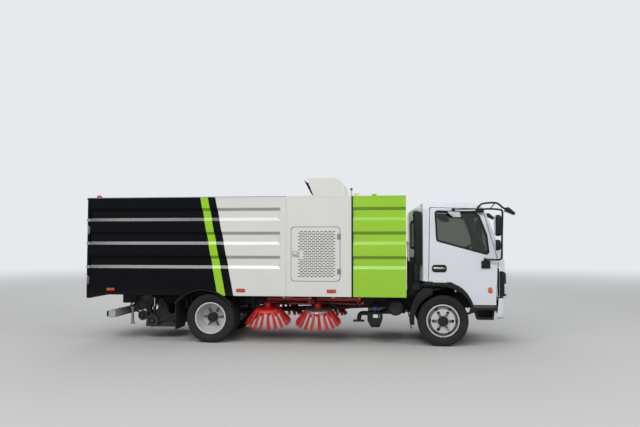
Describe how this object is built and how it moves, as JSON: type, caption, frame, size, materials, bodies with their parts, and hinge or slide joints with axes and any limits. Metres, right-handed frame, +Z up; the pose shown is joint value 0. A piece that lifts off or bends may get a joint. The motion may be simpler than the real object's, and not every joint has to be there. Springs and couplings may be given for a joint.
{
  "type": "street sweeper truck",
  "caption": "Compact low-cab street sweeper truck with a tipping hopper, side brushes, a suction nozzle, a water tank and grille doors.",
  "frame": {"origin": "middle of the truck's bounding box, at road level", "axes": "+X forward, +Y to the truck's left, +Z up"},
  "size_m": [7.059, 2.43, 2.7849],
  "materials": {
    "body_paint": "gloss",
    "cab_paint": "gloss",
    "green_paint": "gloss",
    "frame_paint": "satin",
    "red_paint": "gloss",
    "galvanised": "matte",
    "steel": "satin",
    "black_plastic": "matte",
    "tyre_rubber": "matte",
    "glass": "gloss",
    "seat_fabric": "matte",
    "lamp_plastic": "gloss",
    "headlamp": "gloss",
    "bristle": "satin",
    "cast_iron": "matte",
    "rim_paint": "satin"
  },
  "bodies": {
    "chassis": {"chassis_frame": "frame_paint", "front_axle_beam": "frame_paint", "rear_axle": "frame_paint", "leaf_springs": "frame_paint", "drive_shaft": "frame_paint", "engine_block": "cast_iron", "fuel_tank": "galvanised", "urea_tank": "black_plastic", "exhaust_silencer": "galvanised", "rear_fenders": "frame_paint", "front_mudguards": "black_plastic", "underrun_beam": "galvanised", "suction_nozzle": "galvanised", "bumper": "cab_paint", "air_intake": "black_plastic", "engine_compartment": "body_paint", "sweeper_engine": "cast_iron", "water_tank": "green_paint", "exhaust_hood": "body_paint", "roof_vents": "green_paint", "brush_arms": "red_paint"},
    "cab": {"cab_shell": "cab_paint", "cab_glass": "glass", "seats": "seat_fabric", "dashboard": "black_plastic", "steering_wheel": "black_plastic", "front_lamps": "headlamp", "cab_steps": "black_plastic"},
    "cab_door_left": {"cab_door_left": "cab_paint", "door_glass_left": "glass", "mirrors_left": "black_plastic"},
    "cab_door_right": {"cab_door_right": "cab_paint", "door_glass_right": "glass", "mirrors_right": "black_plastic"},
    "grille_door_left": {"grille_door_left": "body_paint"},
    "grille_door_right": {"grille_door_right": "body_paint"},
    "hopper": {"hopper": "body_paint", "roof_lamps": "lamp_plastic"},
    "tailgate": {"tailgate": "body_paint"},
    "hoist_barrel": {"hoist_barrel": "frame_paint"},
    "hoist_rod": {"hoist_rod": "steel"},
    "steering_knuckle_left": {"steering_knuckle_left": "frame_paint"},
    "steering_knuckle_right": {"steering_knuckle_right": "frame_paint"},
    "tie_rod": {"tie_rod": "frame_paint"},
    "front_wheel_left": {"front_tyre_left": "tyre_rubber", "front_rim_left": "rim_paint"},
    "front_wheel_right": {"front_tyre_right": "tyre_rubber", "front_rim_right": "rim_paint"},
    "rear_wheels_left": {"rear_tyres_left": "tyre_rubber", "rear_rims_left": "rim_paint"},
    "rear_wheels_right": {"rear_tyres_right": "tyre_rubber", "rear_rims_right": "rim_paint"},
    "front_brush_left": {"front_brush_left": "bristle"},
    "front_brush_right": {"front_brush_right": "bristle"},
    "rear_brush_left": {"rear_brush_left": "bristle"},
    "rear_brush_right": {"rear_brush_right": "bristle"}
  },
  "joints": [
    {"name": "steering_left", "type": "hinge", "parent": "chassis", "child": "steering_knuckle_left", "pos_m": [2.408, 0.73, 0.405], "axis": [0, 0, 1], "range_deg": [-32, 32]},
    {"name": "front_wheel_left", "type": "hinge", "parent": "steering_knuckle_left", "child": "front_wheel_left", "pos_m": [2.408, 0.8475, 0.405], "axis": [0, 1, 0], "continuous": true},
    {"name": "rear_wheels_left", "type": "hinge", "parent": "chassis", "child": "rear_wheels_left", "pos_m": [-1.392, 0.8, 0.405], "axis": [0, 1, 0], "continuous": true},
    {"name": "cab_door_left", "type": "hinge", "parent": "cab", "child": "cab_door_left", "pos_m": [3.266, 1.026, 1.3], "axis": [0, 0, -1], "range_deg": [0, 65]},
    {"name": "grille_door_left", "type": "hinge", "parent": "chassis", "child": "grille_door_left", "pos_m": [0.774, 1.124, 1.47], "axis": [0, 0, -1], "range_deg": [0, 100]},
    {"name": "front_brush_left", "type": "hinge", "parent": "chassis", "child": "front_brush_left", "pos_m": [0.37, 0.74, 0.53], "axis": [0, 0.2079, 0.9781], "continuous": true},
    {"name": "rear_brush_left", "type": "hinge", "parent": "chassis", "child": "rear_brush_left", "pos_m": [-0.476, 0.74, 0.53], "axis": [0, 0.2079, 0.9781], "continuous": true},
    {"name": "steering_right", "type": "hinge", "parent": "chassis", "child": "steering_knuckle_right", "pos_m": [2.408, -0.73, 0.405], "axis": [0, 0, 1], "range_deg": [-32, 32]},
    {"name": "front_wheel_right", "type": "hinge", "parent": "steering_knuckle_right", "child": "front_wheel_right", "pos_m": [2.408, -0.8475, 0.405], "axis": [0, 1, 0], "continuous": true},
    {"name": "rear_wheels_right", "type": "hinge", "parent": "chassis", "child": "rear_wheels_right", "pos_m": [-1.392, -0.8, 0.405], "axis": [0, 1, 0], "continuous": true},
    {"name": "cab_door_right", "type": "hinge", "parent": "cab", "child": "cab_door_right", "pos_m": [3.266, -1.026, 1.3], "axis": [0, 0, 1], "range_deg": [0, 65]},
    {"name": "grille_door_right", "type": "hinge", "parent": "chassis", "child": "grille_door_right", "pos_m": [0.774, -1.124, 1.47], "axis": [0, 0, 1], "range_deg": [0, 100]},
    {"name": "front_brush_right", "type": "hinge", "parent": "chassis", "child": "front_brush_right", "pos_m": [0.37, -0.74, 0.53], "axis": [0, -0.2079, 0.9781], "continuous": true},
    {"name": "rear_brush_right", "type": "hinge", "parent": "chassis", "child": "rear_brush_right", "pos_m": [-0.476, -0.74, 0.53], "axis": [0, -0.2079, 0.9781], "continuous": true},
    {"name": "tie_rod", "type": "slide", "parent": "chassis", "child": "tie_rod", "axis": [0, 1, 0], "range_m": [-0.09, 0.09]},
    {"name": "cab_tilt", "type": "hinge", "parent": "chassis", "child": "cab", "pos_m": [3.37, 0, 0.7], "axis": [0, 1, 0], "range_deg": [0, 45]},
    {"name": "hopper_tip", "type": "hinge", "parent": "chassis", "child": "hopper", "pos_m": [-3.13, 0, 0.72], "axis": [0, -1, 0], "range_deg": [0, 50]},
    {"name": "tailgate", "type": "hinge", "parent": "hopper", "child": "tailgate", "pos_m": [-3.524, 0, 2.404], "axis": [0, 1, 0], "range_deg": [0, 75]},
    {"name": "hoist_barrel", "type": "hinge", "parent": "chassis", "child": "hoist_barrel", "pos_m": [-1.13, 0, 0.63], "axis": [0, 1, 0], "range_deg": [0, 30]},
    {"name": "hoist_rod", "type": "slide", "parent": "hoist_barrel", "child": "hoist_rod", "axis": [-0.9905, 0, 0.1376], "range_m": [0, 0.74]}
  ],
  "couplings": [
    {"joint": "steering_right", "follows": "steering_left", "ratio": 1},
    {"joint": "tie_rod", "follows": "steering_left", "m_per_rad": -0.135},
    {"joint": "hoist_barrel", "follows": "hopper_tip", "ratio": 0.55975},
    {"joint": "hoist_rod", "follows": "hopper_tip", "m_per_rad": 0.82561}
  ]
}
